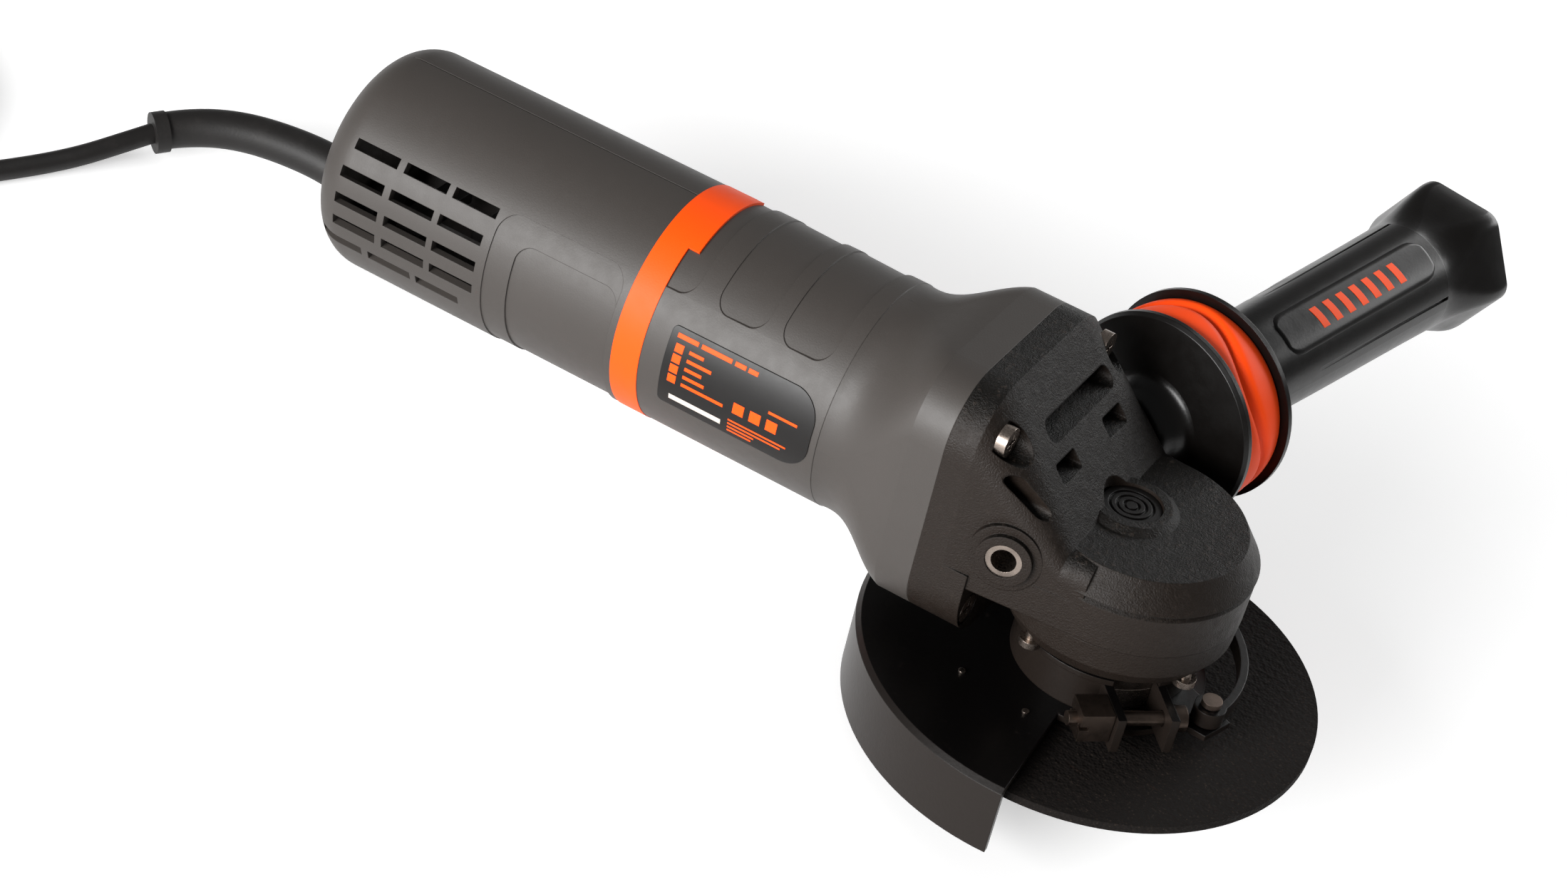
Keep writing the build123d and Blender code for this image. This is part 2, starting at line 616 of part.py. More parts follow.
lever_pivot = (36.0 * cos(radians(-12)), 36.0 * sin(radians(-12)))
with BuildPart() as lever_bracket:
    with BuildSketch(Plane.XY.offset(-43.2)):
        with BuildLine():
            Polyline((collar_out - 1, -13), (38, -14), (41, -4), (collar_out - 1, 3), close=True)
        make_face()
        Circle(collar_out, mode=Mode.SUBTRACT)
        with Locations(lever_pivot):
            Circle(1.9, mode=Mode.SUBTRACT)
    extrude(amount=1.8)
keep(lever_bracket, "lever_bracket")
with BuildPart() as lever_pin:
    with BuildSketch(Plane.XY.offset(-44.2)):
        with Locations(lever_pivot):
            Circle(1.9)
    extrude(amount=9)
    with BuildSketch(Plane.XY.offset(-36)):
        with Locations(lever_pivot):
            Circle(2.8)
    extrude(amount=1.6)
keep(lever_pin, "lever_pin")
with BuildPart() as clamp_lever:
    with BuildSketch(Plane.XY.offset(-41.1)):
        with Locations(lever_pivot):
            Circle(4.4)
            Circle(2.0, mode=Mode.SUBTRACT)
    extrude(amount=4.8)
    with BuildSketch(Plane.XY.offset(-41.1)):
        Circle(39.6)
        Circle(37.4, mode=Mode.SUBTRACT)
        with BuildLine():
            a, b = radians(-10), radians(52)
            Polyline((0, 0), (80 * cos(a), 80 * sin(a)), (80 * cos(b), 80 * sin(b)), close=True)
        make_face(mode=Mode.INTERSECT)
    extrude(amount=4.8)
    with BuildSketch(Plane.XY.offset(-41.1)):
        with Locations(lever_pivot):
            Circle(2.0)
    extrude(amount=12, mode=Mode.SUBTRACT)
keep(clamp_lever, "clamp_lever")

with BuildPart() as guard_rivets:
    for radius, angle in ((42, 200), (42, 232), (36, 262)):
        with BuildSketch(Plane.XY.offset(guard_top)):
            with Locations((radius * cos(radians(angle)), radius * sin(radians(angle)))):
                Circle(1.0)
        extrude(amount=0.6)
keep(guard_rivets, "guard_rivets")

# ---- spindle lock ---------------------------------------------------------------------------
button_bottom = button_top - button_t
with BuildPart() as lock_button:
    with BuildSketch(Plane.XY.offset(button_bottom)):
        with Locations((button_x, 0)):
            Circle(button_r)
    extrude(amount=button_t)
    for radius in (6.4, 4.4, 2.4):
        with BuildSketch(Plane.XY.offset(button_top)):
            with Locations((button_x, 0)):
                Circle(radius)
                Circle(radius - 0.8, mode=Mode.SUBTRACT)
        extrude(amount=-0.6, mode=Mode.SUBTRACT)
    with BuildSketch(Plane.XY.offset(button_bottom)):
        with Locations((-lock_hole_at, 0)):
            Circle(lock_pin_r)
    extrude(amount=1, mode=Mode.SUBTRACT)
keep(lock_button, "lock_button")
with BuildPart() as lock_pin:
    with BuildSketch(Plane.XY.offset(-7.4)):
        with Locations((-lock_hole_at, 0)):
            Circle(lock_pin_r)
    extrude(amount=7.4 + button_bottom + 1)
keep(lock_pin, "lock_pin")
with BuildPart() as lock_spring:
    with BuildSketch(Plane.XY.offset(pocket_floor)):
        with Locations((button_x + 1.2, 0)):
            Circle(4.2)
            Circle(3.2, mode=Mode.SUBTRACT)
    extrude(amount=button_bottom - pocket_floor)
keep(lock_spring, "lock_spring")

# ---- switch and wiring inside the rear housing -----------------------------------------------
with BuildPart() as switch_slider:
    with BuildSketch(Plane.XZ.offset(-26.4)):
        with Locations((-110, 4)):
            RectangleRounded(38, 11.6, 2)
    extrude(amount=-1.8)
    with BuildSketch(Plane.XZ.offset(-28.2)):
        with Locations((-112, 4)):
            RectangleRounded(15, 7.6, 2)
    extrude(amount=-7.9)
keep(switch_slider, "switch_slider")
with BuildPart() as switch_unit:
    with Locations((-195, 0, -12)):
        Box(28, 20, 16)
keep(switch_unit, "switch_unit")
with BuildPart() as capacitor:
    with BuildSketch(Plane.YZ.offset(-210)):
        with Locations((0, 14)):
            RectangleRounded(20, 12, 2)
    extrude(amount=26)
keep(capacitor, "capacitor")
with BuildPart() as cord_clamp:
    with Locations((-228, 0, exit_z + 5)):
        Box(8, 26, 4)
keep(cord_clamp, "cord_clamp")

# ---- side handle, drawn along +Z from the boss face and then put on the left boss -------------
flange_gap = (15.0, 32.6)    # the damper ring sits between the two flanges
flange_rim = 31.2
barrel_end, grip_end = 137.0, 167.0
grip_flare = ((barrel_end, 17.5, 17.2), (147, 18.6, 11), (155, 20.4, 6), (162.5, 21, 6))
grip_lines = (-120, -12)     # two grooves run along the barrel at these angles


def on_boss(solid):
    """Move a piece of the side handle from the origin onto the left boss."""
    solid.part = solid.part.moved(Location(boss_plane(1)))
    return solid


with BuildPart() as handle_stud:
    with BuildSketch():
        Circle(stud_r)
    extrude(amount=26)
    with BuildSketch():
        Circle(stud_r)
    extrude(amount=-11.5)
    with BuildSketch(Plane.XY.offset(20)):
        RegularPolygon(7, 6)
    extrude(amount=6)
keep(on_boss(handle_stud), "handle_stud")
with BuildPart() as handle_flange:
    with BuildSketch(Plane.XZ):
        with BuildLine():
            Polyline((stud_r, 12), (stud_r, 0.9), (7.5, 0.9))
            Spline((7.5, 0.9), (11, 3.4), (12.6, 7.5), (15.5, 10))
            Polyline((15.5, 10), (flange_rim - 1, flange_gap[0] - 2.4), (flange_rim, flange_gap[0] - 1.5),
                     (flange_rim, flange_gap[0]), (12, flange_gap[0]), (12, 20), (stud_r, 20), (stud_r, 12))
        make_face()
    revolve(axis=Axis.Z)
keep(on_boss(handle_flange), "handle_flange")
with BuildPart() as handle_damper:
    with BuildSketch(Plane.XZ):
        with BuildLine():
            Polyline((12, flange_gap[0]), (28.6, flange_gap[0]))
            ThreePointArc((28.6, flange_gap[0]), (29.6, sum(flange_gap) / 2), (28.6, flange_gap[1]))
            Polyline((28.6, flange_gap[1]), (12, flange_gap[1]), (12, flange_gap[0]))
        make_face()
    revolve(axis=Axis.Z)
keep(on_boss(handle_damper), "handle_damper")
with BuildPart() as handle_grip:
    with BuildSketch(Plane.XZ):
        with BuildLine():
            Polyline((0, 26), (7.2, 26), (7.2, 20), (12, 20), (12, flange_gap[1]), (flange_rim, flange_gap[1]),
                     (flange_rim, flange_gap[1] + 1.6), (flange_rim - 1.4, flange_gap[1] + 2.4),
                     (18, flange_gap[1] + 5), (15.6, flange_gap[1] + 9))
            Spline((15.6, flange_gap[1] + 9), (16.6, 75), (17.1, 110), (17.6, barrel_end))
            Polyline((17.6, barrel_end), (0, barrel_end), (0, 26))
        make_face()
    revolve(axis=Axis.Z)
    for angle in grip_lines:
        with BuildSketch(Plane.XY.offset(44)):
            with Locations(Location((0, 0), angle)):
                with Locations((17.4, 0)):
                    Rectangle(1.8, 1.2)
        extrude(amount=barrel_end - 44, mode=Mode.SUBTRACT)
    for z, flat_r, corner in grip_flare:
        with BuildSketch(Plane.XY.offset(z)) as section:
            RegularPolygon(flat_r, 6, major_radius=False)
            fillet(section.vertices(), corner)
    loft()
    for z, flat_r in ((grip_flare[-1][0], 21), (grip_end, 17.5)):
        with BuildSketch(Plane.XY.offset(z)) as section:
            RegularPolygon(flat_r, 6, major_radius=False)
            fillet(section.vertices(), 6)
    loft()
keep(on_boss(handle_grip), "handle_grip")

# ---- set-down: nose up until tail and guard rim both touch the ground ---------------------------
reach, drop = guard_r + tail_x + tail_round, guard_rim + body_r - tail_round
pitch = degrees(acos(tail_round / hypot(reach, drop)) - atan2(-reach, -drop))
tilt = Location((0, 0, 0), (0, -pitch, 0))
resting = Compound(children=[piece.moved(tilt) for piece in pieces.values()]).bounding_box()
set_down = Location((-resting.center().X, -resting.center().Y, -resting.min.Z)) * tilt
placed = {name: piece.moved(set_down) for name, piece in pieces.items()}

# ---- cord, in the resting frame ------------------------------------------------------------------
sleeve_path = ((-164.8, -69.8, 15.4), (-174.8, -71.8, 15.2), (-183.0, -74.4, 14.6), (-191.5, -78.0, 13.6),
               (-199.5, -82.9, 12.0), (-206.2, -89.0, 10.0), (-211.2, -96.4, 8.2))
lead_path = ((-211.2, -96.4, 8.2), (-215.4, -106.3, 5.6), (-219.4, -116.8, 3.5), (-223.4, -128.2, 3.1),
             (-228.2, -140.3, 3.1), (-233.6, -152.8, 3.1), (-238.6, -165.0, 3.1))
coil_centre = (-288.5, -166.0)
coil_in, coil_out, coil_height = 21.5, 50.5, 12.4
tail_path = ((-335.4, -159.4, 9.2), (-337.2, -142.4, 7.6), (-340.6, -126.4, 5.0), (-346.0, -111.4, 4.6),
             (-353.4, -97.4, 7.0))
plug_aim = (-0.55, 0.835, 0)


def keep_placed(piece, name):
    """Label a piece that is drawn in the resting frame."""
    piece.part.label = name
    placed[name] = piece.part


def corner_radii(points):
    """The largest radius that each corner's two runs allow."""
    radii = []
    for before, corner, after in zip(points, points[1:], points[2:]):
        run_in, run_out = Vector(*corner) - Vector(*before), Vector(*after) - Vector(*corner)
        half_turn = radians(run_in.get_angle(run_out)) / 2
        radii.append(0.45 * min(run_in.length, run_out.length) / tan(half_turn))
    return radii


def cord_tube(points):
    """A round cord along straight runs joined by tangent arcs."""
    radii = corner_radii(points)
    print("bend radii, mm:", [round(radius, 1) for radius in radii])
    with BuildPart() as tube:
        with BuildLine() as route:
            FilletPolyline(*points, radius=radii)
        path = route.wires()[0]
        with BuildSketch(Plane(origin=path @ 0, z_dir=path % 0)):
            Circle(cord_r)
        sweep(path=path)
    plain = pi * cord_r**2 * path.length
    print("length, mm:", round(path.length, 1), "volume over plain:", round(tube.part.volume / plain, 4))
    return tube


outlet = set_down * Location((tail_x, 0, exit_z))
outward = (set_down * Location((tail_x - 1, 0, exit_z))).position - outlet.position
with BuildPart() as cord_sleeve:
    path = [outlet.position] + [Vector(*point) for point in sleeve_path]
    for k, point in enumerate(path):
        ahead = path[min(k + 1, len(path) - 1)] - path[max(k - 1, 0)]
        taper = sleeve_r + (sleeve_end_r - sleeve_r) * k / (len(path) - 1)
        with BuildSketch(Plane(origin=point, z_dir=outward if k == 0 else ahead)):
            Circle(taper)
    loft()
    inside = Plane(origin=outlet.position, z_dir=outward)
    with BuildSketch(inside):
        Circle(sleeve_r)
    extrude(amount=-8)
    with BuildSketch(inside.offset(-4.6)):
        Circle(8.5)
    extrude(amount=-3.4)
    with BuildSketch(Plane(origin=path[-1], z_dir=path[-1] - path[-2])):
        Circle(sleeve_end_r + 0.7)
    extrude(amount=-4)
keep_placed(cord_sleeve, "cord_sleeve")

lead, tail = cord_tube(lead_path), cord_tube(tail_path)
with BuildPart() as power_cord:
    add(lead.part)
    add(tail.part)
keep_placed(power_cord, "power_cord")

with BuildPart() as cord_coil:
    with BuildSketch():
        with Locations(coil_centre):
            Circle(coil_out)
            Circle(coil_in, mode=Mode.SUBTRACT)
    extrude(amount=coil_height)
keep_placed(cord_coil, "cord_coil")

plug_plane = Plane(origin=tail_path[-1], x_dir=(0, 0, 1), z_dir=plug_aim)
with BuildPart() as plug_body:
    for along, wide, thick in ((0, 9, 9), (12, 13, 11), (24, 30, 13), (40, 36, 13.8)):
        with BuildSketch(plug_plane.offset(along)):
            RectangleRounded(thick, wide, 4.4)
    loft()
keep_placed(plug_body, "plug_body")
with BuildPart() as plug_pins:
    with BuildSketch(plug_plane.offset(40)):
        with Locations((0, 9.5), (0, -9.5)):
            Circle(2.4)
    extrude(amount=19)
keep_placed(plug_pins, "plug_pins")

print("set-down pitch", round(pitch, 4), "shift", set_down.position)
print("outlet", outlet.position, "direction", outward)
for name, piece in placed.items():
    piece.label = name
    export_step(piece, f"parts/{name}.step")
print(len(placed), "nodes")
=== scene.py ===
"""Looks for the angle grinder: materials, detailed pieces, cord, floor, light and camera."""
import json
from math import cos, exp, pi, radians, sin, sqrt

import bmesh
import bpy
from mathutils import Matrix, Vector


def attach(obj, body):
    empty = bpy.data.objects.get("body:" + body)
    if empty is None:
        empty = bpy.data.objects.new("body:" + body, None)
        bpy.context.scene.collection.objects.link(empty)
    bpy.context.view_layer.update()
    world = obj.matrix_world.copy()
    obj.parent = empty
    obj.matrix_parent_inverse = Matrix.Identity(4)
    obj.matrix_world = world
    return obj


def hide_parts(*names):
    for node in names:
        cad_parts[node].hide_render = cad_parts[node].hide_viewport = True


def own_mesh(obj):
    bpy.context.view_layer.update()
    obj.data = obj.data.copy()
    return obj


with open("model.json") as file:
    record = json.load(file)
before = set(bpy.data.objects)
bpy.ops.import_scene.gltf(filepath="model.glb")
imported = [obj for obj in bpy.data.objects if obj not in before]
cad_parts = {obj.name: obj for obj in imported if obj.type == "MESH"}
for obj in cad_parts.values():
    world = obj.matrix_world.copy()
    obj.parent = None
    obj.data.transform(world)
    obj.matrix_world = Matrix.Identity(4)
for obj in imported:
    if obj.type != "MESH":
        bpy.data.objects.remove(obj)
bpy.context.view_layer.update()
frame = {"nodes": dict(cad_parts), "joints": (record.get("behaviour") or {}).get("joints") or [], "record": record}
nodes = frame["nodes"]
joints = {joint["name"]: joint for joint in frame["joints"]}
MM = 0.001      # pieces are drawn in millimetres and scaled to metres

# The tool's own axes, read from its joints: +X forward, +Y to the side handle, +Z up the spindle.
forward = Vector(joints["armature_spin"]["axis"])
upward = Vector(joints["spindle_spin"]["axis"])
tool = Matrix((forward, upward.cross(forward), upward)).transposed().to_4x4()
tool.translation = Vector(joints["spindle_spin"]["pos_m"])

# The side handle's axes: +Z out along the handle from the face of its boss.
boss_face = Vector((-22.0, 38.0, -1.3)) * MM
handle_axis = Vector(joints["handle_unscrew"]["axis"])
handle_side = handle_axis.cross(upward).normalized()
handle = Matrix((handle_side, handle_axis.cross(handle_side), handle_axis)).transposed().to_4x4()
handle.translation = tool @ boss_face

# ---- camera -------------------------------------------------------------------------------------
camera_place = Vector((0.16938, -0.75091, 0.60801))
camera_azimuth, camera_elevation, camera_roll = radians(14.531), radians(39.414), radians(26.503)
camera_lens, camera_sensor = 74.78, 36

back = Vector((sin(camera_azimuth) * cos(camera_elevation), -cos(camera_azimuth) * cos(camera_elevation),
               sin(camera_elevation)))
level = Vector((cos(camera_azimuth), sin(camera_azimuth), 0))
above = back.cross(level)
right = level * cos(camera_roll) + above * sin(camera_roll)
camera_data = bpy.data.cameras.new("camera")
camera_data.sensor_width = camera_sensor
camera_data.lens = camera_lens
camera_data.clip_end = 20
camera = bpy.data.objects.new("camera", camera_data)
camera.matrix_world = Matrix((right, back.cross(right), back)).transposed().to_4x4()
camera.location = camera_place
bpy.context.scene.collection.objects.link(camera)
bpy.context.scene.camera = camera


# ---- materials --------------------------------------------------------------------------------
def linear(red, green, blue):
    """Display colour, 0 to 255, as a linear RGBA tuple."""
    return tuple(((c / 255 + 0.055) / 1.055) ** 2.4 if c > 10 else c / 255 / 12.92
                 for c in (red, green, blue)) + (1.0,)


class Shader:
    """A material under construction: one Principled shader and short ways to add nodes."""

    def __init__(self, name, roughness=0.5, metallic=0.0, specular=0.5):
        self.material = bpy.data.materials.new(name)
        self.material.use_nodes = True
        self.tree = self.material.node_tree
        self.surface = self.tree.nodes["Principled BSDF"]
        self.surface.inputs["Roughness"].default_value = roughness
        self.surface.inputs["Metallic"].default_value = metallic
        self.surface.inputs["Specular IOR Level"].default_value = specular
        coordinates = self.tree.nodes.new("ShaderNodeTexCoord")
        turn = self.tree.nodes.new("ShaderNodeMapping")
        turn.vector_type = "POINT"
        inverse = tool.inverted()
        turn.inputs["Location"].default_value = inverse.translation
        turn.inputs["Rotation"].default_value = inverse.to_euler()
        self.link(coordinates.outputs["Object"], turn.inputs["Vector"])
        self.place = turn.outputs["Vector"]
        self.normal = coordinates.outputs["Normal"]

    def link(self, source, target):
        self.tree.links.new(source, target)

    def set(self, name, source):
        self.link(source, self.surface.inputs[name])

    def noise(self, size, detail=3.0, roughness=0.55, stretch=None):
        """Noise whose lumps are about `size` metres across, 0 to 1, finer along a larger stretch."""
        node = self.tree.nodes.new("ShaderNodeTexNoise")
        node.inputs["Scale"].default_value = 1.0 / size
        node.inputs["Detail"].default_value = detail
        node.inputs["Roughness"].default_value = roughness
        source = self.place
        if stretch:
            scale = self.tree.nodes.new("ShaderNodeMapping")
            scale.inputs["Scale"].default_value = stretch
            self.link(source, scale.inputs["Vector"])
            source = scale.outputs["Vector"]
        self.link(source, node.inputs["Vector"])
        return node.outputs["Fac"]

    def cells(self, size):
        """Distance to the middle of the nearest of many cells about `size` metres across."""
        node = self.tree.nodes.new("ShaderNodeTexVoronoi")
        node.inputs["Scale"].default_value = 1.0 / size
        self.link(self.place, node.inputs["Vector"])
        return node.outputs["Distance"]

    def math(self, operation, *values):
        """One arithmetic step on numbers or outputs."""
        node = self.tree.nodes.new("ShaderNodeMath")
        node.operation = operation
        for socket, value in zip(node.inputs, values):
            if isinstance(value, (int, float)):
                socket.default_value = value
            else:
                self.link(value, socket)
        return node.outputs[0]

    def spread(self, source, low, high, to_low=0.0, to_high=1.0):
        """Map source from low..high onto to_low..to_high, clamped."""
        node = self.tree.nodes.new("ShaderNodeMapRange")
        self.link(source, node.inputs["Value"])
        for name, value in zip(("From Min", "From Max", "To Min", "To Max"), (low, high, to_low, to_high)):
            node.inputs[name].default_value = value
        return node.outputs["Result"]

    def blend(self, factor, first, second):
        """Mix two colours, each a tuple or an output."""
        node = self.tree.nodes.new("ShaderNodeMix")
        node.data_type = "RGBA"
        self.link(factor, node.inputs[0])
        for socket, value in ((node.inputs[6], first), (node.inputs[7], second)):
            if isinstance(value, tuple):
                socket.default_value = value
            else:
                self.link(value, socket)
        return node.outputs[2]

    def bump(self, height, depth, edge=0.0):
        """Bump by a height map of this depth in metres, over edges rounded by `edge` metres."""
        node = self.tree.nodes.new("ShaderNodeBump")
        node.inputs["Strength"].default_value = 1.0
        node.inputs["Distance"].default_value = depth
        self.link(height, node.inputs["Height"])
        if edge:
            rounded = self.tree.nodes.new("ShaderNodeBevel")
            rounded.samples = 4
            rounded.inputs["Radius"].default_value = edge
            self.link(rounded.outputs["Normal"], node.inputs["Normal"])
        self.set("Normal", node.outputs["Normal"])

    def along_up(self):
        """How far the surface faces up the spindle, -1 to 1."""
        node = self.tree.nodes.new("ShaderNodeVectorMath")
        node.operation = "DOT_PRODUCT"
        self.link(self.normal, node.inputs[0])
        node.inputs[1].default_value = upward
        return node.outputs["Value"]


def shade(colour, share):
    """The colour made darker or lighter by a share, at most white."""
    return tuple(min(1.0, c * share) for c in colour[:3]) + (1.0,)


def moulded(name, colour, roughness, grain=0.00045, depth=0.00003, mottling=0.06, specular=0.5):
    """Moulded plastic: spark-eroded grain, faint mottling and slightly uneven gloss."""
    shader = Shader(name, roughness, specular=specular)
    broad = shader.noise(0.03, 4)
    shader.set("Base Color", shader.blend(broad, shade(colour, 1 - mottling), shade(colour, 1 + mottling)))
    fine = shader.noise(grain, 2)
    gloss = shader.noise(0.004, 3)
    shader.set("Roughness", shader.spread(gloss, 0.3, 0.7, roughness - 0.02, roughness + 0.03))
    shader.bump(fine, depth, edge=0.0003)
    return shader.material


def metal(name, colour, roughness, grain=(1.0, 1.0, 1.0)):
    """Bare metal with fine machining marks and a few darker stains."""
    shader = Shader(name, roughness, metallic=1.0)
    stains = shader.spread(shader.noise(0.006, 4), 0.45, 0.75)
    shader.set("Base Color", shader.blend(stains, colour, shade(colour, 0.55)))
    marks = shader.noise(0.0006, 2, stretch=grain)
    shader.set("Roughness", shader.spread(marks, 0.3, 0.7, roughness - 0.08, roughness + 0.12))
    shader.bump(marks, 0.00001, edge=0.0002)
    return shader.material


def cast_paint():
    """Black paint over a die casting: leathery grain on the upper faces, satin on the flanks, and painted shade
    that colours the upper faces darker than the flanks.
    """
    shader = Shader("cast_black", 0.5, specular=0.18)
    top = shader.spread(shader.along_up(), 0.45, 0.85)
    lumps = shader.noise(0.0017, 5, 0.75)
    fine = shader.noise(0.0005, 2)
    coarse = shader.math("MULTIPLY", lumps, shader.spread(top, 0, 1, 0.3, 2.2))
    grain = shader.math("ADD", coarse, fine)
    worn = shader.math("MULTIPLY", shader.spread(lumps, 0.55, 0.68), shader.spread(top, 0, 1, 0.25, 1.0))
    # painted shade: faces turned up the spindle are coloured darker and the flanks lighter, for how the light
    # falls rather than a different paint
    base = shader.blend(top, linear(29, 23, 19), linear(8, 6, 4))
    shader.set("Base Color", shader.blend(worn, base, linear(46, 39, 34)))
    shader.set("Roughness", shader.spread(shader.noise(0.003, 4), 0.3, 0.7, 0.4, 0.56))
    shader.bump(grain, 0.0002, edge=0.0005)
    return shader.material


def enamel():
    """Stove-enamelled sheet steel: faint orange peel, painted shade that darkens the faces across the spindle,
    scuffs that break the gloss.
    """
    shader = Shader("guard_black", 0.4, specular=0.22)
    scuffs = shader.spread(shader.noise(0.004, 5, 0.65, stretch=(1, 1, 0.2)), 0.64, 0.8)
    flat_face_shade = shader.spread(shader.math("ABSOLUTE", shader.along_up()), 0.5, 0.9)
    # painted shade: faces across the spindle, such as the guard's plate under the gear head, are coloured darker
    # than the skirt
    base = shader.blend(flat_face_shade, linear(27, 22, 19), linear(5, 4, 4))
    shader.set("Base Color", shader.blend(scuffs, base, linear(34, 29, 26)))
    shader.set("Roughness", shader.spread(scuffs, 0, 1, 0.34, 0.6))
    shader.bump(shader.noise(0.0012, 2), 0.00003, edge=0.0004)
    return shader.material


def grit():
    """Resin-bonded abrasive: coarse grains, the glass cloth's weave and rusty smears."""
    shader = Shader("disc_grit", 0.85, specular=0.15)
    split = shader.tree.nodes.new("ShaderNodeSeparateXYZ")
    shader.link(shader.place, split.inputs[0])
    cloth_pitch = 0.0034
    waves = [shader.math("SINE", shader.math("MULTIPLY", split.outputs[axis], 2 * pi / cloth_pitch))
             for axis in (0, 1)]
    weave = shader.math("MULTIPLY", shader.math("MAXIMUM", *waves), 0.35)
    grains = shader.cells(0.0009)
    height = shader.math("ADD", weave, shader.math("MULTIPLY", grains, 1.2))
    specks = shader.spread(shader.noise(0.0007, 2), 0.6, 0.72)
    smears = shader.spread(shader.noise(0.012, 5, 0.7, stretch=(1, 3, 1)), 0.62, 0.8, 0, 0.5)
    base = shader.blend(specks, linear(15, 11, 9), linear(40, 33, 28))
    shader.set("Base Color", shader.blend(smears, base, linear(48, 28, 19)))
    shader.bump(height, 0.00018, edge=0.0003)
    return shader.material


def rubber(name, colour):
    """Cord and seal rubber with a dusty bloom."""
    shader = Shader(name, 0.55, specular=0.35)
    bloom = shader.spread(shader.noise(0.007, 5, 0.65), 0.5, 0.8, 0.0, 0.35)
    shader.set("Base Color", shader.blend(bloom, colour, linear(46, 43, 41)))
    shader.bump(shader.noise(0.0007, 3), 0.00004)
    return shader.material


materials = {
    "housing_grey": moulded("housing_grey", linear(57, 53, 50), 0.5, specular=0.4),
    "accent_orange": moulded("accent_orange", linear(250, 78, 6), 0.5, mottling=0.03, specular=0.2),
    "soft_orange": moulded("soft_orange", linear(253, 74, 8), 0.55, grain=0.0008, mottling=0.04,
                           specular=0.2),
    "cast_black": cast_paint(),
    "handle_black": moulded("handle_black", linear(8, 6, 5), 0.3, grain=0.0009, depth=0.00002,
                            specular=0.3),
    "black_plastic": moulded("black_plastic", linear(10, 8, 7), 0.4, specular=0.25),
    "label_black": moulded("label_black", linear(15, 13, 12), 0.4, grain=0.0015, depth=0.00001,
                           specular=0.3),
    "cord_rubber": rubber("cord_rubber", linear(21, 19, 18)),
    "guard_black": enamel(),
    "disc_grit": grit(),
    "bright_steel": metal("bright_steel", linear(150, 138, 129), 0.3, (1, 1, 6)),
    "dull_steel": metal("dull_steel", linear(96, 84, 76), 0.38, (6, 1, 1)),
    "lamination": metal("lamination", linear(96, 94, 92), 0.5, (12, 1, 1)),
    "copper": metal("copper", linear(196, 112, 66), 0.35, (1, 8, 8)),
    "carbon": moulded("carbon", linear(34, 34, 36), 0.6),
    "bronze": metal("bronze", linear(186, 140, 84), 0.4),
}
for part in frame["record"]["subparts"]:
    mesh = nodes[part["node"]].data
    mesh.materials.clear()
    mesh.materials.append(materials[part["material_slot"]])


# ---- mesh helpers -------------------------------------------------------------------------------
def finish_piece(mesh, name, slot, body, place=tool, smooth=40):
    """Turn a bmesh in millimetres, in the given axes, into a piece that rides on a body."""
    bmesh.ops.recalc_face_normals(mesh, faces=mesh.faces)
    data = bpy.data.meshes.new(name)
    mesh.to_mesh(data)
    mesh.free()
    data.transform(place @ Matrix.Scale(MM, 4))
    data.materials.append(materials[slot])
    piece = bpy.data.objects.new(name, data)
    bpy.context.scene.collection.objects.link(piece)
    data.shade_smooth()
    data.set_sharp_from_angle(angle=radians(smooth))
    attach(piece, body)
    return piece


def skin(mesh, rings, close_ends=True):
    """Join rings of points, each a closed loop of equal count, into a tube."""
    loops = [[mesh.verts.new(point) for point in ring] for ring in rings]
    count = len(loops[0])
    for near, far in zip(loops, loops[1:]):
        for k in range(count):
            mesh.faces.new((near[k], near[(k + 1) % count], far[(k + 1) % count], far[k]))
    if close_ends:
        mesh.faces.new(loops[0])
        mesh.faces.new(loops[-1])
    return loops


# ---- side handle: wavy damper ring, name plate without a name ------------------------------------
damper_from, damper_to = 15.0, 32.6      # the gap between the handle's two flanges
damper_r, damper_bulge = 28.2, 1.5
crease_depth, crease_half, crease_sway, crease_waves = 2.1, 0.085, 0.2, 3


def damper_ring():
    """Soft ring with a crease that wanders from side to side as it goes round."""
    mesh = bmesh.new()
    around, across = 144, 24
    rings = []
    for k in range(across + 1):
        share = k / across
        z = damper_from + (damper_to - damper_from) * share
        ring = []
        for n in range(around):
            angle = 2 * pi * n / around
            crease = 0.5 + crease_sway * sin(crease_waves * angle + 0.6)
            bulge = damper_r + damper_bulge * sin(pi * share) ** 0.5
            radius = bulge - crease_depth * exp(-((share - crease) / crease_half) ** 2)
            ring.append((radius * cos(angle), radius * sin(angle), z))
        rings.append(ring)
    skin(mesh, rings)
    return finish_piece(mesh, "damper_ring", "soft_orange", "side_handle", handle, 60)


def barrel_radius(z):
    """Radius of the grip's barrel, which widens slowly towards its end."""
    stations = ((58, 16.25), (75, 16.6), (110, 17.1), (137, 17.6))
    for (z0, r0), (z1, r1) in zip(stations, stations[1:]):
        if z <= z1:
            return r0 + (r1 - r0) * (z - z0) / (z1 - z0)
    return stations[-1][1]


plate_from, plate_to, plate_cap = 58.0, 133.0, 6.0
plate_angle, plate_half = radians(-62), 7.2
plate_lift, plate_slope, plate_sink = 0.45, 0.12, 0.05
bar_count, bar_from, bar_pitch, bar_width = 7, 74.0, 6.6, 3.0
bar_half, bar_slant, bar_low, bar_high = 3.4, 1.2, 0.2, 0.5


def plate_point(z, side, lift):
    """A point over the grip's barrel: z along it, side across the plate, lift off the barrel."""
    radius = barrel_radius(z)
    angle = plate_angle + side / radius
    return ((radius + lift) * cos(angle), (radius + lift) * sin(angle), z)


